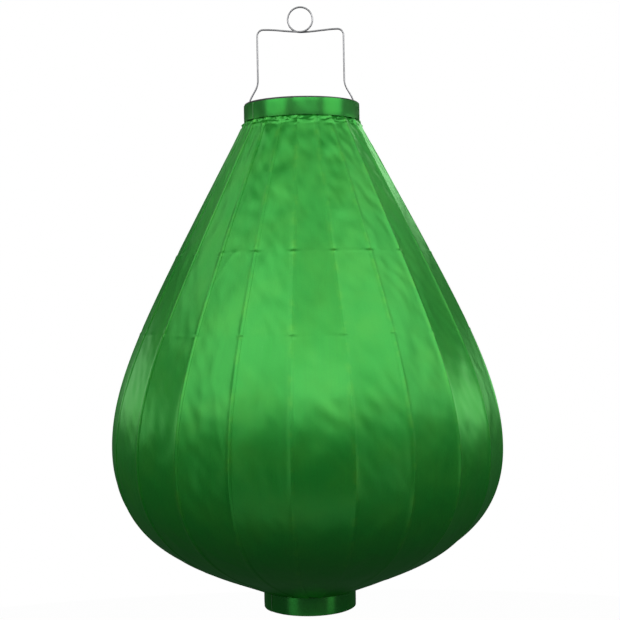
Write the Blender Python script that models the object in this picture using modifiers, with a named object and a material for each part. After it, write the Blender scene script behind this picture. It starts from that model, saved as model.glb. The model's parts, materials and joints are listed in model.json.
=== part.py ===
"""Drop-shaped silk lantern on a wire hanger, with a lift-out solar lamp in its mouth.

Metres, +Z up. The origin is where a hook carries the hanger's loop. Inside the model, heights are
counted from the underside of the bottom hoop, and the whole lantern hangs from one empty.
"""

import math

import bmesh
import bpy
from mathutils import Vector

# ---- clearances -------------------------------------------------------------------------------
GAP = 0.0003  # between pieces that lie against each other
HOLE_CLEARANCE = 0.0005  # round a wire or a button in its hole
DROP_IN_CLEARANCE = 0.001  # round the lamp in its cradle

# ---- silk body --------------------------------------------------------------------------------
RIB_COUNT = 22
FIRST_RIB_ANGLE = math.radians(-94.0)
LANTERN_HEIGHT = 0.582
BELLY_RADIUS = 0.225
BELLY_HEIGHT = 0.187
SHOULDER_SLOPE = math.radians(27.8)  # from the vertical, where the silk leaves the mouth
SHOULDER_REACH = 0.234  # how far the shoulder holds that slope
BELLY_REACH_UP = 0.085
BELLY_REACH_DOWN = 0.110
UNDERSIDE_SLOPE = math.radians(23.5)  # from the horizontal, where the silk meets the base
UNDERSIDE_REACH = 0.077
SILK_THICK = 0.0006
SHOULDER_ROWS = 8
UNDERSIDE_ROWS = 7

# ---- hoops and ribbons ------------------------------------------------------------------------
TOP_HOOP_RADIUS = 0.066
BOTTOM_HOOP_RADIUS = 0.0525
HOOP_WALL = 0.0025
HOOP_HEIGHT = 0.0188
RIM_REVEAL = 0.0006  # how far a hoop stands out past its ribbon
RIBBON_SKIRT = 0.0018  # how far a ribbon reaches over the silk, past its hoop
RIBBON_THICK = 0.0008
HEM_OVERLAP = 0.001  # how far the silk reaches in over the bottom hoop

# ---- wire frame -------------------------------------------------------------------------------
RIB_WIRE = 0.002
BRACE_WIRE = 0.002
UPPER_BRACE_HEIGHT = 0.410
MIDDLE_BRACE_HEIGHT = 0.321
RIB_BELOW_CRADLE = 0.0015
RIB_TURN_IN = 0.018  # how far below the top hoop the ribs leave the silk
RIB_TAIL = 0.011  # length of a rib inside the bottom hoop

# ---- hanger -----------------------------------------------------------------------------------
HANGER_WIRE = 0.002
HANGER_SPAN = 0.100
HANGER_RISE = 0.0887  # from the pivot to the middle of the crossbar
HANGER_DIP = 0.003
HANGER_CORNER = 0.007
FLARE_HEIGHT = 0.0295
LOOP_RADIUS = 0.0143
PIVOT_BELOW_RIM = 0.005
PIVOT_BEND = 0.0018

# ---- solar lamp -------------------------------------------------------------------------------
CRADLE_THICK = 0.0015
CRADLE_RING_WIDTH = 0.009
CRADLE_ARM_WIDTH = 0.008
CRADLE_BELOW_RIM = 0.009
CRADLE_ARM_ANGLES = (-30, 90, 210)
LAMP_RADIUS = 0.034
LAMP_DEPTH = 0.022
LAMP_WALL = 0.002
FLANGE_WIDTH = 0.009
FLANGE_THICK = 0.003
CELL_SIZE = 0.048
CELL_THICK = 0.0012
CELL_POCKET_DEPTH = 0.0016
BASE_THICK = 0.002
POST_RADIUS = 0.002
POST_CIRCLE = 0.020
POST_ANGLES = (60, 180, 300)
BOARD_RADIUS = 0.026
BOARD_THICK = 0.0016
CONTACT_SIZE = 0.0045
CONTACT_HEIGHT = 0.0024
BATTERY_RADIUS = 0.00525
BATTERY_LENGTH = 0.0445
BATTERY_TIP_RADIUS = 0.0019
BATTERY_TIP_LENGTH = 0.001
LED_RADIUS = 0.0025
LED_LENGTH = 0.0082
LED_FLANGE = 0.0004
LED_FLANGE_THICK = 0.001
DIFFUSER_RADIUS = 0.012
DIFFUSER_DROP = 0.010
DIFFUSER_WALL = 0.0015
DIFFUSER_LIP = 0.003
BUTTON_RADIUS = 0.003
BUTTON_COLLAR = 0.001
BUTTON_COLLAR_THICK = 0.0012
BUTTON_DROP = 0.004
BUTTON_CHAMFER = 0.0006
BUTTON_TRAVEL = 0.0015

# ---- sizes that follow from those -------------------------------------------------------------
PITCH = 2 * math.pi / RIB_COUNT
BAND_SEGMENTS = 2 * RIB_COUNT
ROUND_STEPS = 48
SMALL_STEPS = 20
FACET_SHARE = math.cos(math.pi / BAND_SEGMENTS)  # flat of a band's facet over its corner radius
TOP_HOOP_LOW = LANTERN_HEIGHT - HOOP_HEIGHT
TOP_RIBBON_HIGH = LANTERN_HEIGHT - RIM_REVEAL
TOP_RIBBON_LOW = TOP_HOOP_LOW - RIBBON_SKIRT
BOTTOM_RIBBON_HIGH = HOOP_HEIGHT + RIBBON_SKIRT
PIVOT_HEIGHT = LANTERN_HEIGHT - PIVOT_BELOW_RIM
LOOP_SEAT = HANGER_RISE + 2 * LOOP_RADIUS - HANGER_WIRE / 2
CRADLE_TOP = LANTERN_HEIGHT - CRADLE_BELOW_RIM
CRADLE_HOLE = LAMP_RADIUS + DROP_IN_CLEARANCE
FLANGE_RADIUS = LAMP_RADIUS + FLANGE_WIDTH
BOARD_ABOVE_BASE = BUTTON_COLLAR_THICK + BUTTON_TRAVEL + CONTACT_HEIGHT + 2 * GAP
RIB_INSET = SILK_THICK + GAP + RIB_WIRE / 2
BRACE_INSET = RIB_INSET + RIB_WIRE / 2 + GAP + BRACE_WIRE / 2

lantern_parts = bpy.data.collections.new("silk_solar_lantern")
cutters = bpy.data.collections.new("lantern_cutters")


# ---- helpers ----------------------------------------------------------------------------------
def finish(name, colour, roughness, metallic=0.0):
    """A Principled material, made once for each name."""
    material = bpy.data.materials.get(name)
    if material is None:
        material = bpy.data.materials.new(name)
        material.use_nodes = True
        shader = material.node_tree.nodes["Principled BSDF"]
        shader.inputs["Base Color"].default_value = (*colour, 1.0)
        shader.inputs["Roughness"].default_value = roughness
        shader.inputs["Metallic"].default_value = metallic
        material.diffuse_color = (*colour, 1.0)
    return material


def group(name, parent, height):
    """An empty that carries the pieces of one body."""
    empty = bpy.data.objects.new(name, None)
    lantern_parts.objects.link(empty)
    empty.parent = parent
    empty.location = (0.0, 0.0, height)
    return empty


def piece(name, data, parent, material, angle=0.0):
    """A named object of the lantern under its body's empty."""
    ob = bpy.data.objects.new(name, data)
    lantern_parts.objects.link(ob)
    ob.parent = parent
    ob.rotation_euler = (0.0, 0.0, angle)
    data.materials.clear()
    data.materials.append(material)
    return ob


def tool(name, data, parent):
    """A cutter or a joining piece, kept out of the model."""
    ob = bpy.data.objects.new(name, data)
    cutters.objects.link(ob)
    ob.parent = parent
    ob.hide_render = True
    ob.display_type = "WIRE"
    return ob


def combine(target, other, operation):
    """Boolean of one object with another."""
    modifier = target.modifiers.new(other.name, "BOOLEAN")
    modifier.operation = operation
    modifier.solver = "EXACT"
    modifier.object = other


def outline_mesh(name, points, closed):
    """An open or closed chain of points (radius, height) in the XZ plane."""
    mesh = bpy.data.meshes.new(name)
    count = len(points)
    edges = [(i, i + 1) for i in range(count - 1)]
    if closed:
        edges.append((count - 1, 0))
    mesh.from_pydata([(r, 0.0, z) for r, z in points], edges, [])
    return mesh


def spin_up(ob, steps):
    """Turn an outline about the Z axis into a round solid."""
    screw = ob.modifiers.new("turn", "SCREW")
    screw.axis = "Z"
    screw.angle = 2 * math.pi
    screw.steps = steps
    screw.render_steps = steps
    screw.use_merge_vertices = True
    screw.merge_threshold = 0.00001
    screw.use_smooth_shade = True


def turned(name, points, parent, material, steps, closed=False, angle=0.0):
    """A turned piece. Its outline runs down the outer side."""
    ob = piece(name, outline_mesh(name, points, closed), parent, material, angle)
    spin_up(ob, steps)
    return ob


def band(name, radius, wall, low, high, parent, material):
    """A plain hoop whose corners line up with the ribs."""
    corners = [(radius, high), (radius, low), (radius - wall, low), (radius - wall, high)]
    return turned(name, corners, parent, material, BAND_SEGMENTS, True, FIRST_RIB_ANGLE)


def wire(name, points, radius, parent, material, resolution=2, cyclic=False, angle=0.0):
    """A round wire along a chain of points."""
    curve = bpy.data.curves.new(name, "CURVE")
    curve.dimensions = "3D"
    curve.bevel_depth = radius
    curve.bevel_resolution = resolution
    curve.use_fill_caps = True
    spline = curve.splines.new("POLY")
    spline.points.add(len(points) - 1)
    for knot, at in zip(spline.points, points):
        knot.co = (*at, 1.0)
    spline.use_cyclic_u = cyclic
    return piece(name, curve, parent, material, angle)


def cylinder_mesh(name, radius, length, centre, axis="Z", sides=24):
    """A closed cylinder about a point."""
    shape = bmesh.new()
    bmesh.ops.create_cone(
        shape, cap_ends=True, segments=sides, radius1=radius, radius2=radius, depth=length
    )
    if axis == "X":
        turn = Vector((1.0, 0.0, 0.0)).to_track_quat("Z", "Y").to_matrix()
        bmesh.ops.rotate(shape, verts=shape.verts, matrix=turn)
    bmesh.ops.translate(shape, verts=shape.verts, vec=centre)
    mesh = bpy.data.meshes.new(name)
    shape.to_mesh(mesh)
    shape.free()
    return mesh


def block_mesh(name, size, centre, angle=0.0):
    """A closed box about a point, then turned about the Z axis."""
    shape = bmesh.new()
    bmesh.ops.create_cube(shape, size=1.0)
    bmesh.ops.scale(shape, verts=shape.verts, vec=size)
    bmesh.ops.translate(shape, verts=shape.verts, vec=centre)
    turn = Vector((math.cos(angle), math.sin(angle), 0.0)).to_track_quat("X", "Z").to_matrix()
    bmesh.ops.rotate(shape, verts=shape.verts, matrix=turn)
    mesh = bpy.data.meshes.new(name)
    shape.to_mesh(mesh)
    shape.free()
    return mesh


# ---- the drop's outline -----------------------------------------------------------------------
def arc_point(a, b, c, d, t):
    """Point and direction on a cubic curve."""
    s = 1 - t
    at = a * s**3 + b * 3 * s * s * t + c * 3 * s * t * t + d * t**3
    way = (b - a) * s * s + (c - b) * 2 * s * t + (d - c) * t * t
    return at, way.normalized()


def mouth_point():
    """Where the silk starts, inside the top ribbon and just under the top hoop."""
    ribbon_inside = TOP_HOOP_RADIUS + GAP
    at_ribbon_edge = ribbon_inside - GAP / math.cos(SHOULDER_SLOPE)
    height = TOP_HOOP_LOW - GAP
    inward = (height - TOP_RIBBON_LOW) * math.tan(SHOULDER_SLOPE)
    return Vector((at_ribbon_edge - inward, height))


def base_point():
    """Where the silk ends, over the bottom hoop and inside the bottom ribbon."""
    ribbon_inside = BOTTOM_HOOP_RADIUS + GAP
    at_ribbon_edge = BOTTOM_RIBBON_HIGH + GAP / math.cos(UNDERSIDE_SLOPE)
    radius = BOTTOM_HOOP_RADIUS - HEM_OVERLAP
    fall = (ribbon_inside - radius) * math.tan(UNDERSIDE_SLOPE)
    return Vector((radius, at_ribbon_edge - fall))


def meridian(inset=0.0):
    """The silk's outline from mouth to base as (radius, height), or a line inside it."""
    mouth = mouth_point()
    belly = Vector((BELLY_RADIUS, BELLY_HEIGHT))
    base = base_point()
    down_shoulder = Vector((math.sin(SHOULDER_SLOPE), -math.cos(SHOULDER_SLOPE)))
    up_underside = Vector((math.cos(UNDERSIDE_SLOPE), math.sin(UNDERSIDE_SLOPE)))
    down = Vector((0.0, -1.0))
    shoulder = (
        mouth,
        mouth + down_shoulder * SHOULDER_REACH,
        belly - down * BELLY_REACH_UP,
        belly,
    )
    underside = (
        belly,
        belly + down * BELLY_REACH_DOWN,
        base + up_underside * UNDERSIDE_REACH,
        base,
    )
    points = []
    for curve, rows in ((shoulder, SHOULDER_ROWS), (underside, UNDERSIDE_ROWS)):
        for row in range(rows + 1):
            at, way = arc_point(*curve, row / rows)
            inward = Vector((way.y, -way.x))
            points.append(at + inward * inset)
    del points[SHOULDER_ROWS]
    return points


def radius_at(height, inset):
    """Radius of the line inside the silk, at a height on the shoulder."""
    line = meridian(inset)
    for above, below in zip(line, line[1:]):
        if above.y >= height >= below.y:
            share = (above.y - height) / (above.y - below.y)
            return above.x + (below.x - above.x) * share
    raise ValueError("no silk at that height")


# ---- the silk body ----------------------------------------------------------------------------
def silk_panels(parent, material):
    """One taut strip of silk between each two ribs."""
    edge = GAP / 2 + SILK_THICK * math.tan(PITCH / 2)
    for number in range(RIB_COUNT):
        name = f"silk_panel_{number + 1:02d}"
        shape = bmesh.new()
        line = [
            shape.verts.new((p.x * math.cos(PITCH / 2), -p.x * math.sin(PITCH / 2), p.y))
            for p in meridian()
        ]
        chain = [shape.edges.new(pair) for pair in zip(line, line[1:])]
        bmesh.ops.spin(
            shape, geom=line + chain, cent=(0, 0, 0), axis=(0, 0, 1), angle=PITCH, steps=1
        )
        for vert in shape.verts:
            vert.co.y -= math.copysign(edge, vert.co.y)
        shape.faces.ensure_lookup_table()
        if shape.faces[0].normal.x < 0:
            bmesh.ops.reverse_faces(shape, faces=shape.faces)
        mesh = bpy.data.meshes.new(name)
        shape.to_mesh(mesh)
        shape.free()
        angle = FIRST_RIB_ANGLE + (number + 0.5) * PITCH
        ob = piece(name, mesh, parent, material, angle)
        wall = ob.modifiers.new("silk", "SOLIDIFY")
        wall.thickness = SILK_THICK
        wall.offset = -1.0
        wall.use_even_offset = True


def ribs(parent, material):
    """One wire along each seam, turned in at both ends to stand inside the hoops."""
    top_radius = TOP_HOOP_RADIUS - HOOP_WALL - GAP - RIB_WIRE / 2
    low_radius = BOTTOM_HOOP_RADIUS - HOOP_WALL - GAP - RIB_WIRE / 2
    line = [p for p in meridian(RIB_INSET) if p.y < TOP_HOOP_LOW - RIB_TURN_IN]
    leave = Vector((radius_at(TOP_HOOP_LOW - RIB_TURN_IN, RIB_INSET), TOP_HOOP_LOW - RIB_TURN_IN))
    top = [
        Vector((top_radius, CRADLE_TOP - CRADLE_THICK - RIB_BELOW_CRADLE)),
        Vector((top_radius, TOP_HOOP_LOW - 2 * RIB_WIRE)),
        leave,
    ]
    corner_height = line[-1].y - (line[-1].x - low_radius) * math.tan(UNDERSIDE_SLOPE)
    tail = [
        Vector((low_radius, corner_height)),
        Vector((low_radius, HOOP_HEIGHT - RIB_TAIL)),
    ]
    path = top + line + tail
    for number in range(RIB_COUNT):
        wire(
            f"rib_{number + 1:02d}",
            [(p.x, 0.0, p.y) for p in path],
            RIB_WIRE / 2,
            parent,
            material,
            resolution=1,
            angle=FIRST_RIB_ANGLE + number * PITCH,
        )


def brace_hoop(name, height, parent, material):
    """A wire ring inside the ribs."""
    radius = radius_at(height, BRACE_INSET)
    turns = [i * 2 * math.pi / BAND_SEGMENTS for i in range(BAND_SEGMENTS)]
    ring = [(radius * math.cos(a), radius * math.sin(a), height) for a in turns]
    wire(
        name, ring, BRACE_WIRE / 2, parent, material, resolution=1, cyclic=True, angle=FIRST_RIB_ANGLE
    )


def hoops_and_ribbons(parent, metal, satin):
    """The two hoops with the ribbon wound round each."""
    top_hoop = band(
        "top_hoop", TOP_HOOP_RADIUS, HOOP_WALL, TOP_HOOP_LOW, LANTERN_HEIGHT, parent, metal
    )
    hole = HANGER_WIRE / 2 + HOLE_CLEARANCE
    drill = cylinder_mesh(
        "pivot_drill", hole, 3 * TOP_HOOP_RADIUS, (0, 0, PIVOT_HEIGHT), axis="X", sides=16
    )
    combine(top_hoop, tool("pivot_drill", drill, parent), "DIFFERENCE")
    band(
        "top_ribbon",
        TOP_HOOP_RADIUS + GAP + RIBBON_THICK,
        RIBBON_THICK,
        TOP_RIBBON_LOW,
        TOP_RIBBON_HIGH,
        parent,
        satin,
    )
    band("bottom_hoop", BOTTOM_HOOP_RADIUS, HOOP_WALL, 0.0, HOOP_HEIGHT, parent, metal)
    band(
        "bottom_ribbon",
        BOTTOM_HOOP_RADIUS + GAP + RIBBON_THICK,
        RIBBON_THICK,
        RIM_REVEAL,
        BOTTOM_RIBBON_HIGH,
        parent,
        satin,
    )


# ---- the hanger -------------------------------------------------------------------------------
def ease(share):
    """Smooth step from 0 to 1."""
    share = min(max(share, 0.0), 1.0)
    return share * share * (3 - 2 * share)


def hanger_half():
    """Right half of the hanger from its pivot end to the loop, as (x, height)."""
    half = HANGER_SPAN / 2
    wall_inside = (TOP_HOOP_RADIUS - HOOP_WALL) * FACET_SHARE
    tip = TOP_HOOP_RADIUS * FACET_SHARE - GAP
    bend_x = wall_inside - GAP
    foot_x = bend_x - PIVOT_BEND
    points = [Vector((tip, 0.0))]
    for step in range(4):
        turn = step * math.pi / 6
        points.append(
            Vector((bend_x - PIVOT_BEND * math.sin(turn), PIVOT_BEND * (1 - math.cos(turn))))
        )
    foot = Vector((foot_x, PIVOT_BEND))
    leg = Vector((half, FLARE_HEIGHT))
    pull = Vector((0.0, (FLARE_HEIGHT - PIVOT_BEND) / 2))
    for step in range(1, 7):
        points.append(arc_point(foot, foot + pull / 3, leg - pull, leg, step / 6)[0])
    high = HANGER_RISE + HANGER_DIP
    for step in range(5):
        turn = step * math.pi / 8
        points.append(
            Vector(
                (
                    half - HANGER_CORNER * (1 - math.cos(turn)),
                    high - HANGER_CORNER * (1 - math.sin(turn)),
                )
            )
        )
    run = half - HANGER_CORNER
    for step in range(1, 6):
        share = step / 6
        points.append(Vector((run * (1 - share), high - HANGER_DIP * ease(share))))
    return points


def hanger_route():
    """The whole wire: left half, one full turn for the loop, right half."""
    offset = (HANGER_WIRE + GAP) / 2
    side = [(p.x, offset * ease(2 * (1 - p.x / (HANGER_SPAN / 2))), p.y) for p in hanger_half()]
    left = [(-x, -y, z) for x, y, z in side]
    loop = []
    turns = 20
    centre = HANGER_RISE + LOOP_RADIUS
    for step in range(turns + 1):
        share = step / turns
        turn = 2 * math.pi * share
        depth = offset * (2 * ease(1.5 * share - 0.25) - 1)
        loop.append(
            (LOOP_RADIUS * math.sin(turn), depth, centre - LOOP_RADIUS * math.cos(turn))
        )
    return left + loop + side[::-1]


# ---- the solar lamp ---------------------------------------------------------------------------
def cradle(parent, material):
    """A flat ring on three arms, which the lamp's flange rests on."""
    outer = CRADLE_HOLE + CRADLE_RING_WIDTH
    low = CRADLE_TOP - CRADLE_THICK
    corners = [(outer, CRADLE_TOP), (outer, low), (CRADLE_HOLE, low), (CRADLE_HOLE, CRADLE_TOP)]
    ring = turned("lamp_cradle", corners, parent, material, ROUND_STEPS, True)
    hoop_inside = (TOP_HOOP_RADIUS - HOOP_WALL) * FACET_SHARE - GAP
    reach = math.sqrt(hoop_inside**2 - (CRADLE_ARM_WIDTH / 2) ** 2)
    start = CRADLE_HOLE + CRADLE_RING_WIDTH / 2
    for number, degrees in enumerate(CRADLE_ARM_ANGLES):
        size = (reach - start, CRADLE_ARM_WIDTH, CRADLE_THICK)
        centre = ((reach + start) / 2, 0, (CRADLE_TOP + low) / 2)
        name = f"cradle_arm_{number + 1}"
        arm = block_mesh(name, size, centre, math.radians(degrees))
        combine(ring, tool(name, arm, parent), "UNION")


def solar_lamp(parent, plastic, silicon, laminate, steel, clear, frosted):
    """The lamp about the underside of its flange: case, cell, base, board, battery, LED, diffuser."""
    bottom = -LAMP_DEPTH
    inside = LAMP_RADIUS - LAMP_WALL
    case = turned(
        "lamp_case",
        [
            (0.0, FLANGE_THICK),
            (FLANGE_RADIUS, FLANGE_THICK),
            (FLANGE_RADIUS, 0.0),
            (LAMP_RADIUS, 0.0),
            (LAMP_RADIUS, bottom),
            (inside, bottom),
            (inside, 0.0),
            (0.0, 0.0),
        ],
        parent,
        plastic,
        ROUND_STEPS,
    )
    pocket_size = CELL_SIZE + 2 * GAP
    pocket_floor = FLANGE_THICK - CELL_POCKET_DEPTH
    pocket = block_mesh(
        "cell_pocket",
        (pocket_size, pocket_size, 2 * CELL_POCKET_DEPTH),
        (0, 0, FLANGE_THICK),
    )
    combine(case, tool("cell_pocket", pocket, parent), "DIFFERENCE")
    cell_centre = pocket_floor + GAP + CELL_THICK / 2
    cell = block_mesh("solar_cell", (CELL_SIZE, CELL_SIZE, CELL_THICK), (0, 0, cell_centre))
    piece("solar_cell", cell, parent, silicon)

    base_top = bottom + BASE_THICK
    base_radius = inside - GAP
    diffuser_hole = DIFFUSER_RADIUS + GAP
    base = turned(
        "lamp_base",
        [
            (base_radius, base_top),
            (base_radius, bottom),
            (diffuser_hole, bottom),
            (diffuser_hole, base_top),
        ],
        parent,
        plastic,
        ROUND_STEPS,
        closed=True,
    )
    board_low = base_top + BOARD_ABOVE_BASE
    for number, degrees in enumerate(POST_ANGLES):
        at = math.radians(degrees)
        height = board_low - GAP - bottom - BASE_THICK / 2
        centre = (
            POST_CIRCLE * math.cos(at),
            POST_CIRCLE * math.sin(at),
            board_low - GAP - height / 2,
        )
        name = f"board_post_{number + 1}"
        post = cylinder_mesh(name, POST_RADIUS, height, centre, sides=12)
        combine(base, tool(name, post, parent), "UNION")
    hole = BUTTON_RADIUS + HOLE_CLEARANCE
    drill = cylinder_mesh("button_drill", hole, 4 * BASE_THICK, (POST_CIRCLE, 0, bottom), sides=16)
    combine(base, tool("button_drill", drill, parent), "DIFFERENCE")

    board_top = board_low + BOARD_THICK
    board = turned(
        "circuit_board",
        [(0.0, board_top), (BOARD_RADIUS, board_top), (BOARD_RADIUS, board_low), (0.0, board_low)],
        parent,
        laminate,
        ROUND_STEPS,
    )
    contact_low = board_low - CONTACT_HEIGHT
    contact_high = board_low + BOARD_THICK / 2
    contact = block_mesh(
        "switch_contact",
        (CONTACT_SIZE, CONTACT_SIZE, contact_high - contact_low),
        (POST_CIRCLE, 0, (contact_high + contact_low) / 2),
    )
    combine(board, tool("switch_contact", contact, parent), "UNION")
    half = BATTERY_LENGTH / 2
    neck = half - BATTERY_TIP_LENGTH
    battery = turned(
        "battery_cell",
        [
            (0.0, half),
            (BATTERY_TIP_RADIUS, half),
            (BATTERY_TIP_RADIUS, neck),
            (BATTERY_RADIUS, neck),
            (BATTERY_RADIUS, -half),
            (0.0, -half),
        ],
        parent,
        steel,
        SMALL_STEPS,
    )
    battery.rotation_euler = (0.0, math.pi / 2, 0.0)
    battery.location = (0.0, 0.0, board_top + GAP + BATTERY_RADIUS)

    led_top = board_low - GAP
    led_low = led_top - LED_LENGTH
    dome = [
        (LED_RADIUS * math.cos(a), led_low + LED_RADIUS * (1 - math.sin(a)))
        for a in (i * math.pi / 8 for i in range(5))
    ]
    dome[-1] = (0.0, led_low)
    rim = LED_RADIUS + LED_FLANGE
    under_rim = led_top - LED_FLANGE_THICK
    turned(
        "led",
        [(0.0, led_top), (rim, led_top), (rim, under_rim), (LED_RADIUS, under_rim), *dome],
        parent,
        clear,
        SMALL_STEPS,
    )

    lip_low = base_top + GAP
    lip_high = lip_low + DIFFUSER_WALL
    lip = DIFFUSER_RADIUS + DIFFUSER_LIP
    well = DIFFUSER_RADIUS - DIFFUSER_WALL
    drop = bottom - DIFFUSER_DROP
    spring = drop + DIFFUSER_DROP
    outer = [
        (DIFFUSER_RADIUS * math.cos(a), spring - DIFFUSER_DROP * math.sin(a))
        for a in (i * math.pi / 12 for i in range(6))
    ]
    inner_drop = DIFFUSER_DROP - DIFFUSER_WALL
    inner = [
        (well * math.cos(a), spring - inner_drop * math.sin(a))
        for a in (i * math.pi / 12 for i in range(5, -1, -1))
    ]
    turned(
        "light_diffuser",
        [
            (lip, lip_high),
            (lip, lip_low),
            (DIFFUSER_RADIUS, lip_low),
            *outer,
            (0.0, drop),
        ]
        + [(0.0, drop + DIFFUSER_WALL), *inner, (well, lip_high)],
        parent,
        frosted,
        ROUND_STEPS // 2,
        closed=True,
    )


def switch_button(parent, rubber):
    """Push button about the base's top face: collar inside, stem through the hole."""
    collar = BUTTON_RADIUS + BUTTON_COLLAR
    low = -BASE_THICK - BUTTON_DROP
    collar_low = GAP
    collar_high = collar_low + BUTTON_COLLAR_THICK
    turned(
        "switch_button",
        [
            (0.0, collar_high),
            (collar, collar_high),
            (collar, collar_low),
            (BUTTON_RADIUS, collar_low),
            (BUTTON_RADIUS, low + BUTTON_CHAMFER),
            (BUTTON_RADIUS - BUTTON_CHAMFER, low),
            (0.0, low),
        ],
        parent,
        rubber,
        SMALL_STEPS,
    )


# ---- build ------------------------------------------------------------------------------------
def build():
    for ob in list(bpy.data.objects):
        bpy.data.objects.remove(ob)
    bpy.context.scene.collection.children.link(lantern_parts)
    bpy.context.scene.collection.children.link(cutters)

    silk = finish("green_satin", (0.045, 0.42, 0.06), 0.4)
    ribbon = finish("green_ribbon", (0.06, 0.45, 0.08), 0.35)
    black_wire = finish("black_wire", (0.01, 0.01, 0.01), 0.4, 0.6)
    bright_wire = finish("steel_wire", (0.32, 0.32, 0.33), 0.35, 1.0)
    black_plastic = finish("black_plastic", (0.02, 0.02, 0.022), 0.45)
    silicon = finish("solar_silicon", (0.01, 0.02, 0.07), 0.2)
    laminate = finish("green_laminate", (0.01, 0.12, 0.04), 0.4)
    battery_steel = finish("battery_steel", (0.5, 0.5, 0.52), 0.3, 1.0)
    clear = finish("led_epoxy", (0.85, 0.85, 0.8), 0.1)
    frosted = finish("frosted_plastic", (0.8, 0.8, 0.78), 0.5)
    rubber = finish("grey_rubber", (0.2, 0.2, 0.2), 0.7)

    hang_point = group("hang_point", None, 0.0)
    body = group("lantern_body", hang_point, -LOOP_SEAT - PIVOT_HEIGHT)
    hanger_axis = group("hanger_axis", body, PIVOT_HEIGHT)
    lamp_axis = group("lamp_axis", body, CRADLE_TOP + GAP)
    button_axis = group("button_axis", lamp_axis, BASE_THICK - LAMP_DEPTH)
    button_axis.location.x = POST_CIRCLE

    wire("hanger_wire", hanger_route(), HANGER_WIRE / 2, hanger_axis, bright_wire)
    hoops_and_ribbons(body, black_wire, ribbon)
    ribs(body, bright_wire)
    brace_hoop("upper_brace_hoop", UPPER_BRACE_HEIGHT, body, bright_wire)
    brace_hoop("middle_brace_hoop", MIDDLE_BRACE_HEIGHT, body, bright_wire)
    silk_panels(body, silk)
    cradle(body, black_wire)
    solar_lamp(lamp_axis, black_plastic, silicon, laminate, battery_steel, clear, frosted)
    switch_button(button_axis, rubber)


build()
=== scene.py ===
import json
import math

import bmesh
import bpy
from bpy.props import FloatProperty, FloatVectorProperty, IntProperty, PointerProperty
from mathutils import Matrix, Vector, noise


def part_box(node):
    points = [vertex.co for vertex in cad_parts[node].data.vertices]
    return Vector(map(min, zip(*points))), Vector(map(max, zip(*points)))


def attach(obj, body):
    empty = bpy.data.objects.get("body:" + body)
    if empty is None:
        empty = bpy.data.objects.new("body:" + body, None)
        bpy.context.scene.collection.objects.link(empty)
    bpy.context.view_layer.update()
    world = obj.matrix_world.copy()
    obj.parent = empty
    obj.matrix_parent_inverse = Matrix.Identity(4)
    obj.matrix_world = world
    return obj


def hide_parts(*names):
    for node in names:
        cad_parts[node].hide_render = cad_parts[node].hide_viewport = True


bl_info = {
    "name": "Silk Solar Lantern",
    "version": (1, 0, 0),
    "blender": (4, 5, 0),
    "location": "View3D > Sidebar > Lantern",
    "description": "Drop-shaped silk lantern with a wire hanger and a lift-out solar lamp",
    "category": "Object",
}

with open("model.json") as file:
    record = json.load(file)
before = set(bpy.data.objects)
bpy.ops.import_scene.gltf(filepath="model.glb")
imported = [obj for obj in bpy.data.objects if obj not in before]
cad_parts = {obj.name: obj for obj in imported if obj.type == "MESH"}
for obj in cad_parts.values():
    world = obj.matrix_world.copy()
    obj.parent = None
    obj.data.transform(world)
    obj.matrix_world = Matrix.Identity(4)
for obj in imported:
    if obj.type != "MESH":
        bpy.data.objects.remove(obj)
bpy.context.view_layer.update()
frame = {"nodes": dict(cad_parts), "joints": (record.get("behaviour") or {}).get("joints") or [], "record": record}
MM = 0.001

HOOP_TOP_LOW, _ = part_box("top_hoop")
HOOP_BASE_LOW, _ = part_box("bottom_hoop")
RIBBON_TOP_LOW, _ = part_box("top_ribbon")
_, RIBBON_BASE_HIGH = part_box("bottom_ribbon")
UNDERSIDE = HOOP_BASE_LOW.z  # the silk's and the wires' heights are counted from here
BRACE_HOOPS = ("upper_brace_hoop", "middle_brace_hoop")
FINE_ROW = 1.3 * MM  # between the silk's rows at the gathers and the brace hoops
PLAIN_ROW = 3.4 * MM  # between the silk's other rows
SILK_COLUMNS = 30  # across one panel
LAP_COLUMNS = 3  # across the lap past the next rib
SILK_LAP = 2.6 * MM
HOOP_GAP = 0.3 * MM  # from the top hoop's lower edge to the silk's hem
RIBBON_GAP = 0.34 * MM  # from the top ribbon's inside to the silk at its lower edge
HEM_TUCK = 0.15 * MM  # how far the lower hem goes behind the bottom ribbon
OUTLINE_STEPS = 240  # on each of the outline's two curves
FOLD = 5.5 * MM  # the bunched fold's depth under the mouth, and its width
SLOPE_REACH = 6  # outline steps each way over which a slope is taken
RIB_DEPTH = 0.9 * MM  # from the silk's outer face to a rib's
WIRE_GAP = 0.3 * MM  # from a hoop's inside to a rib's end
RIB_END = 18 * MM  # how far under the top hoop a rib leaves the silk
BACKDROP_RADIUS = 6.0
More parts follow.
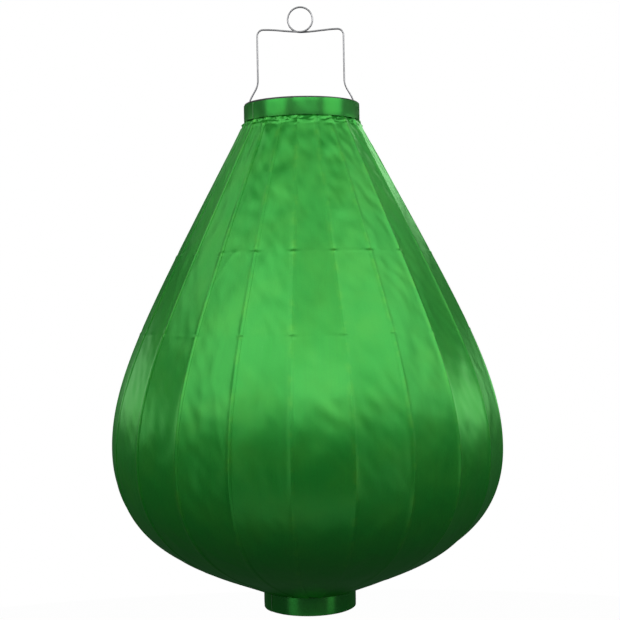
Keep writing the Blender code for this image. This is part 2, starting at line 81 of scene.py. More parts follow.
STUDIO_LIGHTS = (  # name, azimuth, elevation, distance, width, height, watts
    ("side_left", -51, 31, 1.9, 1.5, 1.4, 9.8),
    ("side_right", 64, 31, 1.9, 1.4, 1.4, 9.8),
    ("front_sky", 4, 47, 1.9, 2.2, 1.4, 9.0),
    ("front_low", 8, 25, 1.9, 1.6, 0.5, 5.2),
    ("rim_right", 150, 27, 1.9, 0.7, 0.6, 3.2),
    ("rim_left", -150, 27, 1.9, 0.7, 0.6, 0.6),
    ("rear_right", 114, 4, 1.9, 1.4, 0.4, 3.4),
    ("rear_left", -116, 4, 1.9, 1.8, 0.4, 2.6),
    ("high_left", -104, 36, 1.9, 1.0, 0.8, 2.6),
    ("high_right", 102, 36, 1.9, 1.0, 0.8, 1.5),
    ("low_left", -42, -12, 2.4, 0.7, 1.1, 1.1),
    ("low_right", 52, -12, 2.4, 0.7, 1.1, 1.1),
    ("floor_bounce", 0, -40, 1.9, 2.2, 0.8, 1.1),
)
PIVOT = Vector(next(j["pos_m"] for j in frame["joints"] if j["name"] == "hanger_swing"))


def corner_radius(node):
    """The radius of a round node's corners, seen from above."""
    return max(math.hypot(v.co.x, v.co.y) for v in frame["nodes"][node].data.vertices)


def inner_radius(node):
    """The radius of a round node's inner corners, seen from above."""
    return min(math.hypot(v.co.x, v.co.y) for v in frame["nodes"][node].data.vertices)


# ---- settings ---------------------------------------------------------------------------------
def length(name, text, default):
    """A length the user can change."""
    return FloatProperty(name=name, description=text, default=default, unit="LENGTH", precision=4)


def share(name, text, default):
    """A plain number from 0 to 1."""
    return FloatProperty(name=name, description=text, default=default, min=0.0, max=1.0)


def colour(name, text, default):
    """A colour the user can change."""
    return FloatVectorProperty(
        name=name, description=text, default=default, subtype="COLOR", min=0.0, max=1.0
    )


def turn(name, text, degrees):
    """An angle the user can change."""
    return FloatProperty(
        name=name, description=text, default=math.radians(degrees), subtype="ANGLE"
    )


class SilkSettings(bpy.types.PropertyGroup):
    """Shape and colour of the silk panels."""

    rib_count: IntProperty(name="Ribs", description="Ribs, and panels between them", default=22)
    first_rib: turn("First rib", "Direction of rib 1 from the X axis", -94.0)
    shoulder_slope: turn("Shoulder slope", "From the vertical, at the mouth", 27.8)
    shoulder_reach: length("Shoulder reach", "How far the shoulder holds its slope", 0.234)
    belly_radius: length("Belly radius", "Widest radius, at the ribs", 0.225)
    belly_height: length("Belly height", "Height of the widest ring", 0.187)
    belly_reach_up: length("Belly reach up", "Roundness above the belly", 0.085)
    belly_reach_down: length("Belly reach down", "Roundness under the belly", 0.110)
    underside_slope: turn("Underside slope", "From the horizontal, at the base", 23.5)
    underside_reach: length("Underside reach", "How far the underside holds its slope", 0.077)
    ridge: length("Ridge", "How far a rib lifts the silk", 0.0003)
    hollow: share("Hollow", "How far the silk draws in between two ribs", 0.15)
    crease: length("Crease", "How far a brace hoop marks the silk", 0.00011)
    gather: length("Gather", "Depth of the bunched silk under the ribbon", 0.0026)
    cloth: length("Cloth", "Thickness of the silk", 0.0003)
    green: colour("Green", "Colour of the satin", (0.014, 0.40, 0.030))


class RibbonSettings(bpy.types.PropertyGroup):
    """The satin ribbon round each hoop."""

    overlap: length("Overlap", "How far the ribbon laps over its own start", 0.008)
    seam: turn("Seam", "Direction of the ribbon's cut end from the X axis", -144.0)
    cloth: length("Cloth", "Thickness of the ribbon", 0.0005)
    green: colour("Green", "Colour of the ribbon", (0.012, 0.38, 0.030))


class WireSettings(bpy.types.PropertyGroup):
    """The hanger, the ribs and the brace hoops."""

    thickness: length("Thickness", "Diameter of every wire", 0.002)
    span: length("Span", "From leg to leg of the hanger", 0.100)
    rise: length("Rise", "From the pivot to the middle of the crossbar", 0.0887)
    dip: length("Dip", "How far the crossbar sags", 0.003)
    corner: length("Corner", "Bend radius at the top of a leg", 0.007)
    flare: length("Flare", "Height over which a leg spreads to the hoop", 0.0335)
    loop: length("Loop", "Radius of the hook loop's wire", 0.0143)
    steel: colour("Steel", "Colour of the hanger's wire", (0.42, 0.42, 0.43))


class LampSettings(bpy.types.PropertyGroup):
    """The solar lamp."""

    rounding: length("Rounding", "Bevel on the mouldings", 0.0006)
    plastic: colour("Plastic", "Colour of the mouldings", (0.018, 0.018, 0.020))
    cell: colour("Cell", "Colour of the solar cell", (0.010, 0.022, 0.080))


class StageSettings(bpy.types.PropertyGroup):
    """Camera, floor and light."""

    distance: length("Distance", "From the camera to the lantern's axis", 1.442)
    eye_height: length("Eye height", "Camera above the lantern's underside", 0.3693)
    eye_side: length("Eye side", "Camera right of the lantern's axis", 0.0057)
    pitch: turn("Pitch", "Camera tipped down", 1.016)
    roll: turn("Roll", "Camera turned clockwise", 0.995)
    lens: FloatProperty(name="Lens", description="Focal length in millimetres", default=72.06)
    floor_drop: length("Floor drop", "From the lantern's underside to the floor", 1.40)


# ---- materials --------------------------------------------------------------------------------
class Signal:
    """One socket of a material. Arithmetic on it adds Math nodes."""

    def __init__(self, paint, socket):
        self.paint = paint
        self.socket = socket

    def math(self, operation, *others):
        values = dict(enumerate((self, *others)))
        return self.paint.node("ShaderNodeMath", {"operation": operation}, values)

    def __add__(self, other):
        return self.math("ADD", other)

    def __radd__(self, other):
        return self.math("ADD", other)

    def __sub__(self, other):
        return self.math("SUBTRACT", other)

    def __rsub__(self, other):
        return self.paint.node(
            "ShaderNodeMath", {"operation": "SUBTRACT"}, {0: other, 1: self}
        )

    def __mul__(self, other):
        return self.math("MULTIPLY", other)

    def __rmul__(self, other):
        return self.math("MULTIPLY", other)

    def __gt__(self, other):
        return self.math("GREATER_THAN", other)

    def __lt__(self, other):
        return self.math("LESS_THAN", other)

    def __abs__(self):
        return self.math("ABSOLUTE")


class Paint:
    """A material being mixed: its node tree and its Principled shader."""

    def __init__(self, name, **constants):
        self.material = bpy.data.materials.new(name)
        self.material.use_nodes = True
        self.tree = self.material.node_tree
        self.shader = self.tree.nodes["Principled BSDF"]
        for key, value in constants.items():
            socket = self.shader.inputs[key.replace("_", " ").title().replace("Ior", "IOR")]
            socket.default_value = (*value, 1.0) if isinstance(value, tuple) else value

    def node(self, kind, settings=None, values=None, output=0):
        """Add a node: its settings first, then the values or links of its sockets."""
        node = self.tree.nodes.new(kind)
        for key, value in (settings or {}).items():
            setattr(node, key, value)
        for key, value in (values or {}).items():
            self.feed(node.inputs[key], value)
        return Signal(self, node.outputs[output])

    def feed(self, socket, value):
        """Link a signal to a socket, or set its value."""
        if isinstance(value, Signal):
            self.tree.links.new(value.socket, socket)
        elif isinstance(value, tuple) and len(value) == 3 and len(socket.default_value) == 4:
            socket.default_value = (*value, 1.0)
        else:
            socket.default_value = value

    def set(self, name, signal):
        """Feed one of the shader's varying sockets."""
        self.feed(self.shader.inputs[name], signal)

    def place(self):
        """Object coordinates, in metres."""
        return self.node("ShaderNodeTexCoord", output="Object")

    def cloth(self):
        """The piece's own map: metres across the cloth and along it."""
        return self.node("ShaderNodeUVMap", {"uv_map": "cloth"})

    def stretch(self, vector, scale):
        """A vector scaled along each of its axes."""
        return self.node("ShaderNodeMapping", {"vector_type": "POINT"}, {0: vector, 3: scale})

    def clouds(self, vector, scale=1.0, detail=2.0, roughness=0.5):
        """Noise from 0 to 1."""
        return self.node(
            "ShaderNodeTexNoise",
            {"noise_dimensions": "3D"},
            {"Vector": vector, "Scale": scale, "Detail": detail, "Roughness": roughness},
        )

    def spread(self, signal, low, high):
        """Map a range smoothly onto 0 to 1."""
        return self.node(
            "ShaderNodeMapRange",
            {"interpolation_type": "SMOOTHSTEP"},
            {0: signal, 1: low, 2: high, 3: 0.0, 4: 1.0},
        )

    def mix(self, factor, first, second):
        """Mix two colours."""
        return self.node(
            "ShaderNodeMix", {"data_type": "RGBA"}, {0: factor, 6: first, 7: second}, 2
        )

    def relief(self, height, distance, strength):
        """Bump the surface by a height signal."""
        bump = self.node(
            "ShaderNodeBump", {}, {"Strength": strength, "Distance": distance, "Height": height}
        )
        self.set("Normal", bump)


def shade(tint, factor):
    """A lighter or darker colour."""
    return tuple(min(1.0, c * factor) for c in tint)


def satin(name, green, across, along, dull, lustre):
    """Woven satin: coloured gloss, fine threads along the cloth and soft slubs."""
    paint = Paint(
        name,
        metallic=lustre,
        coat_weight=0.36,
        coat_ior=2.0,
        coat_roughness=0.34,
        specular_tint=shade(green, 2.2),
    )
    cloth = paint.cloth()
    threads = paint.clouds(paint.stretch(cloth, across), 1.0, 2.0, 0.6)
    slubs = paint.clouds(paint.stretch(cloth, along), 1.0, 3.0, 0.55)
    weave = paint.clouds(paint.place(), 800.0, 2.0, 0.7)
    blotches = paint.clouds(paint.place(), 24.0, 3.0, 0.55)
    seam = paint.node("ShaderNodeAttribute", {"attribute_name": "seam"}, output="Fac")
    tone = paint.spread(threads * 0.3 + slubs * 0.25 + weave * 0.45, 0.32, 0.68)
    silk = paint.mix(tone, shade(green, 0.94), shade(green, 1.06))
    # painted highlight: a lighter, yellower tint along the seams (the ridge over each rib, and the ribbon's cut
    # end), broken into patches by noise; the large blotches mixed into the same colour are the satin's own uneven
    # tone
    warm_tint_and_glint = (green[0] * 3.2 + 0.02, green[1] * 1.15, green[2])
    seam_glint_patches = paint.spread(paint.clouds(paint.place(), 70.0, 3.0, 0.6), 0.42, 0.68)
    blotches_and_seam_glint = paint.spread(blotches, 0.35, 0.75) * 0.3 + seam * seam_glint_patches * 0.55
    # frayed threads and a painted highlight: where the seam mark passes 1.5, at the ribbon's cut end only, the
    # colour turns pale green
    frayed_and_glint = paint.spread(seam, 1.0, 1.5)
    paint.set("Base Color", paint.mix(frayed_and_glint, paint.mix(blotches_and_seam_glint, silk, warm_tint_and_glint), (0.30, 0.60, 0.30)))
    paint.set("Roughness", dull + slubs * 0.04 + weave * 0.04)
    paint.relief(threads * 0.6 + weave * 0.4, 0.0001, 0.08)
    return paint.material


def steel(name, tint, roughness):
    """Drawn wire: faint marks along its length and slight dulling."""
    paint = Paint(name, metallic=1.0, base_color=tint)
    place = paint.place()
    marks = paint.clouds(paint.stretch(place, (900, 900, 120)), 1.0, 2.0)
    dull = paint.clouds(place, 60.0, 2.0)
    paint.set("Base Color", paint.mix(dull, shade(tint, 0.8), shade(tint, 1.15)))
    paint.set("Roughness", roughness + marks * 0.12)
    paint.relief(marks, 0.00002, 0.15)
    return paint.material


def enamel(name, tint):
    """Black enamel on sheet steel, with a slight orange-peel surface."""
    paint = Paint(name, base_color=tint, coat_weight=0.3, coat_roughness=0.15)
    place = paint.place()
    peel = paint.clouds(place, 700.0, 2.0)
    wear = paint.clouds(place, 90.0, 4.0, 0.6)
    paint.set("Base Color", paint.mix(paint.spread(wear, 0.45, 0.75), tint, shade(tint, 2.2)))
    paint.set("Roughness", 0.3 + wear * 0.2)
    paint.relief(peel, 0.00004, 0.4)
    return paint.material


def moulding(name, tint, roughness=0.45, grain=1400.0):
    """Fine-grained moulded plastic or rubber."""
    paint = Paint(name, base_color=tint)
    place = paint.place()
    pebbles = paint.clouds(place, grain, 2.0)
    dust = paint.clouds(place, 70.0, 3.0, 0.6)
    paint.set("Base Color", paint.mix(paint.spread(dust, 0.4, 0.8), tint, shade(tint, 1.5)))
    paint.set("Roughness", roughness + dust * 0.15)
    paint.relief(pebbles, 0.00006, 0.5)
    return paint.material


def frosted(name, tint):
    """Frosted plastic that lets light through."""
    paint = Paint(name, base_color=tint, subsurface_weight=0.6, subsurface_scale=0.004)
    frost = paint.clouds(paint.place(), 900.0, 2.0)
    paint.set("Roughness", 0.42 + frost * 0.15)
    paint.relief(frost, 0.00003, 0.5)
    return paint.material


def silicon(name, tint):
    """A solar cell under resin: grains, fine fingers and two silver bus bars."""
    paint = Paint(name, base_color=tint, coat_weight=1.0, coat_roughness=0.04)
    place = paint.place()
    grain = paint.node(
        "ShaderNodeTexVoronoi", {"feature": "F1"}, {"Vector": place, "Scale": 260.0}, "Color"
    )
    speckle = paint.node("ShaderNodeRGBToBW", {}, {0: grain})
    x, y = (paint.node("ShaderNodeSeparateXYZ", {}, {0: place}, axis) for axis in (0, 1))
    finger = abs((x * 500.0).math("FRACT") - 0.5) > 0.46
    bus = abs(abs(y) - 0.012) < 0.0008
    edge = abs(x) > 0.0232
    lines = ((finger * 0.4).math("MAXIMUM", bus)) * (1.0 - edge)
    blue = paint.mix(speckle, shade(tint, 0.9), shade(tint, 1.25))
    paint.set("Base Color", paint.mix(lines, blue, (0.55, 0.57, 0.6)))
    paint.set("Roughness", 0.22 + speckle * 0.04)
    paint.set("Metallic", lines * 0.7 + 0.15)
    return paint.material


def laminate(name):
    """Printed circuit board: solder mask over copper tracks."""
    paint = Paint(name, base_color=(0.01, 0.12, 0.04), coat_weight=0.4)
    place = paint.place()
    tracks = paint.node(
        "ShaderNodeTexVoronoi",
        {"feature": "DISTANCE_TO_EDGE"},
        {"Vector": place, "Scale": 220.0},
    )
    copper = tracks < 0.06
    paint.set("Base Color", paint.mix(copper, (0.008, 0.10, 0.035), (0.03, 0.22, 0.08)))
    paint.set("Roughness", 0.35 + copper * 0.1)
    return paint.material


def battery_wrap(name):
    """A cell in a plain sleeve: pale grey with a blue-grey end, and bare steel caps."""
    paint = Paint(name, metallic=0.2)
    along = paint.node("ShaderNodeSeparateXYZ", {}, {0: paint.place()}, 0)
    band = along > 0.006
    bare = abs(along) > 0.0212
    sleeve = paint.mix(band, (0.55, 0.57, 0.58), (0.10, 0.17, 0.24))
    paint.set("Base Color", paint.mix(bare, sleeve, (0.6, 0.6, 0.62)))
    paint.set("Metallic", bare * 0.9)
    paint.set("Roughness", 0.3 + bare * 0.1)
    return paint.material


def clear_epoxy(name):
    """The LED's clear dome with its pale phosphor inside."""
    paint = Paint(name, base_color=(0.9, 0.88, 0.7), coat_weight=1.0)
    core = paint.clouds(paint.place(), 300.0)
    paint.set("Base Color", paint.mix(core, (0.92, 0.9, 0.72), (0.95, 0.95, 0.9)))
    paint.set("Roughness", 0.08 + core * 0.06)
    return paint.material


FINISHES = {}


def finish(slot):
    """The material of a record slot, made once."""
    scene = bpy.context.scene
    silk, ribbon = scene.lantern_silk, scene.lantern_ribbon
    wire, lamp = scene.lantern_wire, scene.lantern_lamp
    makers = {
        "green_satin": lambda: satin(slot, tuple(silk.green), (1500, 30, 1), (260, 5, 1), 0.34, 0.66),
        "green_ribbon": lambda: satin(slot, tuple(ribbon.green), (40, 1800, 1), (6, 400, 1), 0.22, 0.78),
        "bright_wire": lambda: steel(slot, tuple(wire.steel), 0.13),
        "frame_wire": lambda: steel(slot, (0.24, 0.24, 0.25), 0.38),
        "hoop_black": lambda: enamel(slot, (0.010, 0.010, 0.011)),
        "lamp_plastic": lambda: moulding(slot, tuple(lamp.plastic)),
        "solar_silicon": lambda: silicon(slot, tuple(lamp.cell)),
        "board_laminate": lambda: laminate(slot),
        "battery_steel": lambda: battery_wrap(slot),
        "led_epoxy": lambda: clear_epoxy(slot),
        "frosted_plastic": lambda: frosted(slot, (0.82, 0.82, 0.80)),
        "button_rubber": lambda: moulding(slot, (0.12, 0.12, 0.125), 0.65, 900.0),
    }
    if slot not in FINISHES:
        FINISHES[slot] = makers[slot]()
    return FINISHES[slot]


# ---- modelling helpers ------------------------------------------------------------------------
def slot_of(node):
    """The record's material slot of a CAD node."""
    return next(s["material_slot"] for s in frame["record"]["subparts"] if s["node"] == node)


def deselect():
    """Leave edit mode with nothing selected, so that the next operator acts on new work only."""
    if bpy.context.object and bpy.context.object.mode != "OBJECT":
        bpy.ops.object.mode_set(mode="OBJECT")
    bpy.ops.object.select_all(action="DESELECT")


def settle(ob, name, body, node, angle=35.0):
    """Name a finished piece, put its place in its mesh, and let it stand for its CAD node."""
    slot = slot_of(node)
    deselect()
    ob.select_set(True)
    bpy.context.view_layer.objects.active = ob
    bpy.ops.object.transform_apply(location=True, rotation=True, scale=True)
    bpy.ops.object.shade_smooth_by_angle(angle=math.radians(angle))
    ob.name = name
    ob.data.name = name
    ob.data.materials.clear()
    ob.data.materials.append(finish(slot))
    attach(ob, body)
    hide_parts(node)
    return ob


def apply_modifier(ob, kind, **settings):
    """Add a modifier and apply it."""
    bpy.context.view_layer.objects.active = ob
    modifier = ob.modifiers.new(kind.lower(), kind)
    for key, value in settings.items():
        setattr(modifier, key, value)
    bpy.ops.object.modifier_apply(modifier=modifier.name)


def soften(ob, width, segments=3, angle=35.0):
    """Round a piece's sharp edges."""
    apply_modifier(
        ob,
        "BEVEL",
        width=width,
        segments=segments,
        limit_method="ANGLE",
        angle_limit=math.radians(angle),
    )


def turn_rings(profile, steps, ring=False):
    """A turned piece: a circle extruded from ring to ring, down the outside and up the inside.

    A ring closes on its own start. Any other shape is capped at both ends."""
    deselect()
    (radius, height), *rest = profile
    bpy.ops.mesh.primitive_circle_add(vertices=steps, radius=radius, location=(0, 0, height))
    ob = bpy.context.object
    bpy.ops.object.transform_apply(location=True)
    bpy.ops.object.mode_set(mode="EDIT")
    bpy.ops.mesh.select_mode(type="EDGE")
    bpy.ops.mesh.select_all(action="SELECT")
    for next_radius, next_height in rest:
        rise = (0, 0, next_height - height)
        bpy.ops.mesh.extrude_region_move(TRANSFORM_OT_translate={"value": rise})
        grow = next_radius / radius
        bpy.ops.transform.resize(value=(grow, grow, 1), center_override=(0, 0, next_height))
        radius, height = next_radius, next_height
    bpy.ops.mesh.select_all(action="DESELECT")
    bpy.ops.mesh.select_non_manifold()
    if ring:
        bpy.ops.mesh.bridge_edge_loops()
    else:
        bpy.ops.mesh.fill_holes(sides=0)
    bpy.ops.mesh.select_all(action="SELECT")
    bpy.ops.mesh.normals_make_consistent(inside=False)
    bpy.ops.object.mode_set(mode="OBJECT")
    return ob


def cut(ob, cutter, operation="DIFFERENCE"):
    """Boolean a piece with a tool, and throw the tool away."""
    deselect()
    apply_modifier(ob, "BOOLEAN", object=cutter, solver="EXACT", operation=operation)
    bpy.data.objects.remove(cutter)


def box_tool(size, centre, angle=0.0):
    """A box at its size and place, turned about Z."""
    deselect()
    bpy.ops.mesh.primitive_cube_add(size=1.0, location=centre, rotation=(0, 0, angle))
    ob = bpy.context.object
    ob.scale = size
    bpy.ops.object.transform_apply(location=True, rotation=True, scale=True)
    return ob


def rod_tool(radius, depth, centre, rotation=(0, 0, 0)):
    """A rod at its size and place."""
    deselect()
    bpy.ops.mesh.primitive_cylinder_add(
        vertices=32, radius=radius, depth=depth, location=centre, rotation=rotation
    )
    bpy.ops.object.transform_apply(location=True, rotation=True)
    return bpy.context.object


def wire_piece(points, radius, cyclic=False, sides=3):
    """A smooth round wire through a chain of points, as a mesh."""
    deselect()
    bpy.ops.curve.primitive_bezier_curve_add(location=(0, 0, 0))
    ob = bpy.context.object
    curve = ob.data
    curve.splines.clear()
    spline = curve.splines.new("POLY")
    spline.points.add(len(points) - 1)
    for knot, at in zip(spline.points, points):
        knot.co = (*at, 1.0)
    spline.use_cyclic_u = cyclic
    curve.dimensions = "3D"
    curve.bevel_depth = radius
    curve.bevel_resolution = sides
    curve.use_fill_caps = not cyclic
    bpy.ops.object.convert(target="MESH")
    ob = bpy.context.object
    bpy.ops.object.mode_set(mode="EDIT")
    bpy.ops.mesh.select_all(action="SELECT")
    bpy.ops.mesh.remove_doubles(threshold=0.00001)
    bpy.ops.mesh.normals_make_consistent(inside=False)
    bpy.ops.object.mode_set(mode="OBJECT")
    return ob


def put(name, data):
    """An object for a mesh, a light or a camera, in the scene."""
    ob = bpy.data.objects.new(name, data)
    bpy.context.scene.collection.objects.link(ob)
    return ob


def twin(ob, angle):
    """A copy of a piece with its own mesh, turned about the lantern's axis."""
    mesh = ob.data.copy()
    mesh.transform(Matrix.Rotation(angle, 4, "Z"))
    return put(ob.name, mesh)


def sheet_piece(shape, name, thickness):
    """A mesh made by code becomes a sheet with its thickness inwards."""
    mesh = bpy.data.meshes.new(name)
    shape.to_mesh(mesh)
    shape.free()
    ob = put(name, mesh)
    deselect()
    ob.select_set(True)
    apply_modifier(ob, "SOLIDIFY", thickness=thickness, offset=-1.0, use_even_offset=True)
    return ob


def ease(x):
    """Smooth step from 0 to 1."""
    x = min(max(x, 0.0), 1.0)
    return x * x * (3 - 2 * x)


def bell(x, width):
    """A bump of height 1 that fades out over its width."""
    return math.exp(-((x / width) ** 2))


# ---- the drop's outline -----------------------------------------------------------------------
class Outline:
    """The silk's line from mouth to base at a rib, measured along the cloth."""

    def __init__(self, silk):
        slope = silk.shoulder_slope
        ribbon_in = inner_radius("top_ribbon")
        low = HOOP_TOP_LOW.z - HOOP_GAP
        skirt = low - RIBBON_TOP_LOW.z
        mouth = Vector((ribbon_in - RIBBON_GAP - skirt * math.tan(slope), low - UNDERSIDE))
        rise = silk.underside_slope
        base_in = inner_radius("bottom_ribbon")
        base_radius = corner_radius("bottom_hoop") - MM
        lip = RIBBON_BASE_HIGH.z - UNDERSIDE - HEM_TUCK
        base = Vector((base_radius, lip - (base_in - base_radius) * math.tan(rise)))
        belly = Vector((silk.belly_radius, silk.belly_height))
        down = Vector((0.0, -1.0))
        shoulder = (
            mouth,
            mouth + Vector((math.sin(slope), -math.cos(slope))) * silk.shoulder_reach,
            belly - down * silk.belly_reach_up,
            belly,
        )
        under = (
            belly,
            belly + down * silk.belly_reach_down,
            base + Vector((math.cos(rise), math.sin(rise))) * silk.underside_reach,
            base,
        )
        steps = OUTLINE_STEPS
        self.points = [self.bezier(shoulder, i / steps) for i in range(steps)]
        self.points += [self.bezier(under, i / steps) for i in range(steps + 1)]
        self.arcs = [0.0]
        for a, b in zip(self.points, self.points[1:]):
            self.arcs.append(self.arcs[-1] + (b - a).length)
        self.length = self.arcs[-1]

    @staticmethod
    def bezier(curve, t):
        a, b, c, d = curve
        s = 1 - t
        return a * s**3 + b * 3 * s * s * t + c * 3 * s * t * t + d * t**3

    def at(self, arc):
        """Point, outward normal and curvature at a distance along the cloth from the mouth."""
        arc = min(max(arc, 0.0), self.length)
        low, high = 0, len(self.arcs) - 1
        while high - low > 1:
            middle = (low + high) // 2
            if self.arcs[middle] <= arc:
                low = middle
            else:
                high = middle
        part = (arc - self.arcs[low]) / (self.arcs[high] - self.arcs[low])
        point = self.points[low].lerp(self.points[high], part)
        before = self.points[max(low - SLOPE_REACH, 0)]
        after = self.points[min(high + SLOPE_REACH, len(self.points) - 1)]
        way = (after - before).normalized()
        into = (self.points[low] - before).normalized()
        out = (after - self.points[high]).normalized()
        bend = 0.0
        if SLOPE_REACH <= low and high + SLOPE_REACH < len(self.points):
            bend = into.angle(out) / max((after - before).length / 2, 1e-6)
        return point, Vector((-way.y, way.x)), bend

    def arc_at_height(self, height):
        """How far along the cloth a height is reached."""
        for point, arc in zip(self.points, self.arcs):
            if point.y <= height:
                return arc
        return self.length


def cloth_rows(outline, braces):
    """Distances along the cloth: close together at the gathers and the brace hoops."""
    rows = [0.0]
    while rows[-1] < outline.length:
        here = rows[-1]
        from_end = min(here, outline.length - here)
        from_brace = min(abs(here - b) for b in braces)
        step = FINE_ROW if from_end < 24 * MM or from_brace < 7 * MM else PLAIN_ROW
        rows.append(here + step)
    rows[-1] = outline.length
    return rows


def wrinkles(lateral, arc, direction):
    """Soft slanting wrinkles and a few sharp creases across one panel, in millimetres."""
    slant = Vector((lateral * 30 + arc * 18, arc * 13 - lateral * 8, direction * 3.0))
    fine = Vector((lateral * 85 - arc * 48, arc * 40 + lateral * 20, direction * 7.0 + 5.0))
    line = Vector((lateral * 12 + arc * 9, arc * 6 - lateral * 16, direction * 2.0 + 9.0))
    patch = noise.noise(Vector((direction * 3.0, arc * 7, 2.0)))
    crease = max(0.0, 1 - abs(noise.noise(line)) * 16) * max(0.0, patch + 0.25)
    near_mouth = 1 + 1.3 * math.exp(-arc / 0.09)
    return 0.80 * noise.noise(slant) + near_mouth * (0.42 * noise.noise(fine) + 0.36 * crease)


def gathers(silk, direction, arc, rest):
    """The bunched silk where the ribbons hold it: folds beside the mouth, puckers at both ends."""
    around = direction * 0.075
    bunch = noise.noise(Vector((around * 85, arc * 260, 3.1)))
    fold = 1 - min(1.0, 4.5 * abs(noise.noise(Vector((around * 75, arc * 230, 6.6)))))
    pucker = noise.noise(Vector((around * 190, arc * 18, 8.4)))
    broad = noise.noise(Vector((around * 70, arc * 26, 1.7)))
    lift = silk.gather * bell(arc - FOLD, FOLD) * (0.15 + 0.8 * bunch + 0.5 * fold)
    lift += MM * (0.7 * pucker + 1.3 * broad) * ease(arc / 0.005) * math.exp(-arc / 0.038)
    return lift + 0.6 * MM * pucker * ease(rest / 0.004) * math.exp(-rest / 0.03)


def silk_lift(silk, outline, braces, lateral, half, arc, bend, direction):
    """How far the silk stands off the flat chord between two ribs at one point."""
    from_rib = half - abs(lateral)
    across = lateral / half
    rest = outline.length - arc
    free = 1 - across * across
    # the silk is slackest on one side, at the mouth and under the belly
    slack = 0.42 - 0.30 * math.cos(direction + math.radians(40))
    slack += 0.7 * math.exp(-arc / 0.10) + 0.35 * ease((arc - 0.42) / 0.12)
    draw = silk.hollow * 0.5 * half * half * bend - slack * half * 0.07
    lift = silk.ridge * bell(from_rib, 2.0 * MM)
    lift -= draw * free * ease(arc / 0.02) * ease(rest / 0.03)
    for number, brace in enumerate(braces):
        off = arc - brace
        # a faint line along the brace hoop, and a pinch where it crosses the rib
        patch = 0.5 + 1.4 * noise.noise(Vector((direction * 9.0, number * 4.0, 0.5)))
        lift += silk.crease * bell(off, 2.0 * MM) * (1 - 0.7 * across * across) * patch
        knot = bell(off - 0.8 * MM, 1.7 * MM) - 0.9 * bell(off + 2.2 * MM, 2.0 * MM)
        lift += 0.38 * MM * knot * bell(from_rib, 4.5 * MM)
    lift += gathers(silk, direction, arc, rest)
    return lift + MM * wrinkles(lateral, arc, direction) * (1 - across**4)


def silk_panel(number, silk, outline, braces, rows):
    """One panel: from its rib, over the flat between, and lapped past the next rib."""
    pitch = 2 * math.pi / silk.rib_count
    shape = bmesh.new()
    chart = shape.loops.layers.uv.new("cloth")
    seam = shape.verts.layers.float.new("seam")
    grid = []
    for arc in rows:
        point, normal, bend = outline.at(arc)
        half = point.x * math.sin(pitch / 2)
        line = []
        for column in range(SILK_COLUMNS + LAP_COLUMNS + 1):
            if column <= SILK_COLUMNS:
                lateral = half * math.sin((column / SILK_COLUMNS - 0.5) * math.pi)
                panel, shift, own = number, lateral, 0.0
            else:
                extra = SILK_LAP * (column - SILK_COLUMNS) / LAP_COLUMNS
                lateral = half + extra
                panel, shift, own = number + 1, extra - half, 1.0
            middle = silk.first_rib + (panel + 0.5) * pitch
            direction = middle + shift / max(point.x, 0.01)
            lift = silk_lift(silk, outline, braces, shift, half, arc, bend, direction)
            near_end = bell(half - lateral, 3.0 * MM) if own == 0.0 else 1.0
            lift += silk.cloth * 1.1 * near_end * (1 if lateral > 0 else 0)
            edge = ease(arc / 0.006) * ease((outline.length - arc) / 0.004)
            lift = lift * edge + min(lift, 0.0) * (1 - edge) * (arc < 0.1)
            radial = point.x * math.cos(pitch / 2) + normal.x * lift
            x = radial * math.cos(middle) - shift * math.sin(middle)
            y = radial * math.sin(middle) + shift * math.cos(middle)
            z = point.y + normal.y * lift + UNDERSIDE
            vert = shape.verts.new((x, y, z))
            # seam marks the band along each rib where the satin paints its lighter, yellower seam tint, a painted
            # highlight of the ridge
            vert[seam] = bell(half - abs(lateral), 3.2 * MM)
            line.append((vert, lateral))
        grid.append(line)
    for upper, lower, arc, next_arc in zip(grid, grid[1:], rows, rows[1:]):
        for left in range(len(upper) - 1):
            corners = (upper[left], lower[left], lower[left + 1], upper[left + 1])
            face = shape.faces.new([vert for vert, _ in corners])
            face.smooth = True
            for loop, (_, lateral), along in zip(
                face.loops, corners, (arc, next_arc, next_arc, arc)
            ):
                loop[chart].uv = (lateral + 0.1 * number, along)
    return sheet_piece(shape, "silk", silk.cloth)


# ---- operators --------------------------------------------------------------------------------
class LANTERN_OT_silk(bpy.types.Operator):
    """Sew the silk panels between the ribs"""

    bl_idname = "lantern.silk_panels"
    bl_label = "Silk Panels"

    def execute(self, context):
        silk = context.scene.lantern_silk
        outline = Outline(silk)
        heights = [
            sum(corner.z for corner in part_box(node)) / 2 - UNDERSIDE
            for node in BRACE_HOOPS
        ]
        braces = [outline.arc_at_height(height) for height in heights]
        rows = cloth_rows(outline, braces)
        half_pitch = math.pi / silk.rib_count
        widths = [2 * outline.at(arc)[0].x * math.sin(half_pitch) + SILK_LAP for arc in rows]
        area = sum(
            (a + b) / 2 * (next_arc - arc)
            for a, b, arc, next_arc in zip(widths, widths[1:], rows, rows[1:])
        )
        for number in range(silk.rib_count):
            ob = silk_panel(number, silk, outline, braces, rows)
            node = f"silk_panel_{number + 1:02d}"
            settle(ob, f"silk_{number + 1:02d}", "lantern", node, 60.0)
        return {"FINISHED"}


